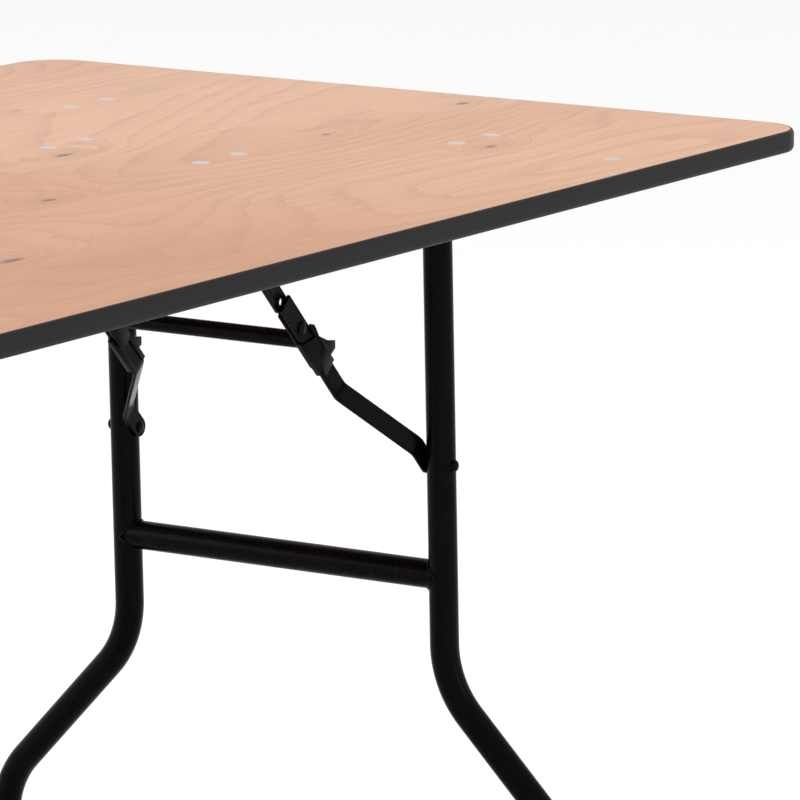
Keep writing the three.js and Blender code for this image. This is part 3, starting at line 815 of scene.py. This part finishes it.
braceSpec = {
    "halfWidth": 8.5 * mm, "thick": 3.0 * mm, "ease": 0.45 * mm, "lowerTop": 125.5 * mm,
    "joggleStart": 242.5 * mm, "joggleEnd": 310.5 * mm, "bendEase": 2.5 * mm, "innerY": 96.4 * mm,
    "endY": 140.1 * mm, "stations": 70, "crowding": 1.6, "endWidth": 0.4 * mm,
    "crossTubeX": 174.1 * mm, "crossTube": 7 * mm, "crossTubeOver": 0.2 * mm, "ear": 91.6 * mm,
}
buttonSpec = {"radius": 4.6 * mm, "edge": 0.8 * mm, "height": 1.9 * mm, "sunk": 0.1 * mm}
pinSpec = {"radius": 4 * mm, "head": 5.8 * mm, "crown": 4.6 * mm, "height": 1.4 * mm, "reach": 8 * mm}
# The pressed pieces, each with the ending of its name and the width that its edges are eased by.
pressed = {
    "upper_link": ("Strip", 0.45 * mm), "lock_sleeve": ("Clip", 0.35 * mm),
    "brace_bracket": ("Plate", 0.45 * mm), "hinge_strap": ("Saddle", 0.45 * mm),
}


def braceMatrix(suffix):
    # From the brace's own axes, x down the brace from the bracket pin, to the table's.
    pin = Vector(jointOf["brace_fold_" + suffix]["pos_m"])
    knee = Vector(jointOf["knee_fold_" + suffix]["pos_m"])
    angle = math.atan2(pin.z - knee.z, abs(knee.x) - abs(pin.x))
    turn = Matrix.Rotation(ends[suffix], 4, "Z")
    place = turn @ Matrix.Translation((abs(pin.x), 0, pin.z)) @ Matrix.Rotation(angle, 4, "Y")
    return place, (knee - pin).length


def braceLength(suffix, place):
    low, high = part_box(f"leg_rivet_left_{suffix}")
    return (place.inverted() @ ((low + high) / 2)).x


def joggleAt(x):
    # How far the lower link has stepped outwards at x, and its slope: a ramp with a bend at each end.
    start = braceSpec["joggleStart"]
    end = braceSpec["joggleEnd"]
    ease = braceSpec["bendEase"]
    full = (braceSpec["endY"] - braceSpec["innerY"]) / (end - start)
    rise = 0.0
    slope = 0.0
    for corner, sign in ((start, 1), (end, -1)):
        into = min(max((x - corner + ease) / (2 * ease), 0.0), 1.0)
        rise += sign * full * (ease * into * into + max(x - corner - ease, 0.0))
        slope += sign * full * into
    return rise, slope


def makeLowerLink(word, hand, suffix, place, length):
    # A flat strip, swept with a small edge radius, that steps out to the leg and ends round.
    half = braceSpec["halfWidth"]
    thick = braceSpec["thick"]
    start = braceSpec["lowerTop"]
    stop = length + half
    ease = braceSpec["ease"]
    count = braceSpec["stations"]
    rings = []
    for i in range(count + 1):
        x = start + (stop - start) * (1 - (1 - i / count) ** braceSpec["crowding"])
        rise, slope = joggleAt(x)
        lean = math.atan(slope)
        over = max(0.0, x - length)
        width = max(math.sqrt(max(half * half - over * over, 0)), braceSpec["endWidth"])
        along = Vector((-math.sin(lean), math.cos(lean), 0))
        outline = [
            (-width, ease), (-width + ease, 0), (width - ease, 0), (width, ease),
            (width, thick - ease), (width - ease, thick), (-width + ease, thick), (-width, thick - ease),
        ]
        base = Vector((x, braceSpec["innerY"] + rise, 0))
        ring = [base + along * t + Vector((0, 0, z)) for z, t in outline]
        rings.append([place @ Vector((p.x, hand * p.y, p.z)) for p in ring])
    node = f"lower_link_{word}_{suffix}"
    strip = meshFromRings(node + "Strip", rings, capped=True)
    radius = buttonSpec["radius"]
    height = buttonSpec["height"]
    sunk = buttonSpec["sunk"]
    buttonProfile = [
        (0, -sunk), (radius, -sunk), (radius, buttonSpec["edge"]), (radius - 0.6 * mm, height - 0.5 * mm),
        (radius - 2.2 * mm, height - sunk), (0, height),
    ]
    pivot = place @ Matrix.Translation((length, hand * braceSpec["endY"], 0))
    inward = Matrix.Rotation(hand * math.pi / 2, 4, "X")
    button = turnedMesh("button", buttonProfile, pivot @ inward, 24)
    joined = bmesh.new()
    joined.from_mesh(strip)
    joined.from_mesh(button)
    joined.to_mesh(strip)
    joined.free()
    addPiece(node + "Strip", strip, powderBlack, bodyOfNode[node], [node], 42)


def makeKneePin(word, hand, suffix, place, knee):
    node = f"knee_pin_{word}_{suffix}"
    radius = pinSpec["radius"]
    head = pinSpec["head"]
    crown = pinSpec["crown"]
    inner = braceSpec["ear"]
    outer = inner + pinSpec["reach"]
    height = pinSpec["height"]
    profile = [
        (0, inner - height), (crown - 0.2 * mm, inner - height), (head - 0.1 * mm, inner - 0.6 * mm),
        (head, inner + 0.1 * mm), (radius, inner + 0.2 * mm), (radius, outer), (head, outer + 0.1 * mm),
        (head - 0.1 * mm, outer + 0.7 * mm), (crown, outer + height), (0, outer + height + 0.1 * mm),
    ]
    out = Matrix.Rotation(-hand * math.pi / 2, 4, "X")
    mesh = turnedMesh(node + "Rivet", profile, place @ Matrix.Translation((knee, 0, 0)) @ out, 28)
    addPiece(node + "Rivet", mesh, powderBlack, bodyOfNode[node], [node], 40)


def makeBraces():
    for suffix in ends:
        place, knee = braceMatrix(suffix)
        length = braceLength(suffix, place)
        tubeNode = "brace_cross_tube_" + suffix
        tubePlace = place @ Matrix.Translation((braceSpec["crossTubeX"], 0, 0))
        half = braceSpec["ear"] + braceSpec["crossTubeOver"]
        body = bodyOfNode[tubeNode]
        makeAcrossTube(tubeNode + "Pipe", tubeNode, half, braceSpec["crossTube"], tubePlace, body)
        for word, hand in hands.items():
            makeLowerLink(word, hand, suffix, place, length)
            makeKneePin(word, hand, suffix, place, knee)
            for kind, (ending, width) in pressed.items():
                node = f"{kind}_{word}_{suffix}"
                softened(node + ending, node, width)


makeBraces()
print("stage: braces, straps and sleeves")
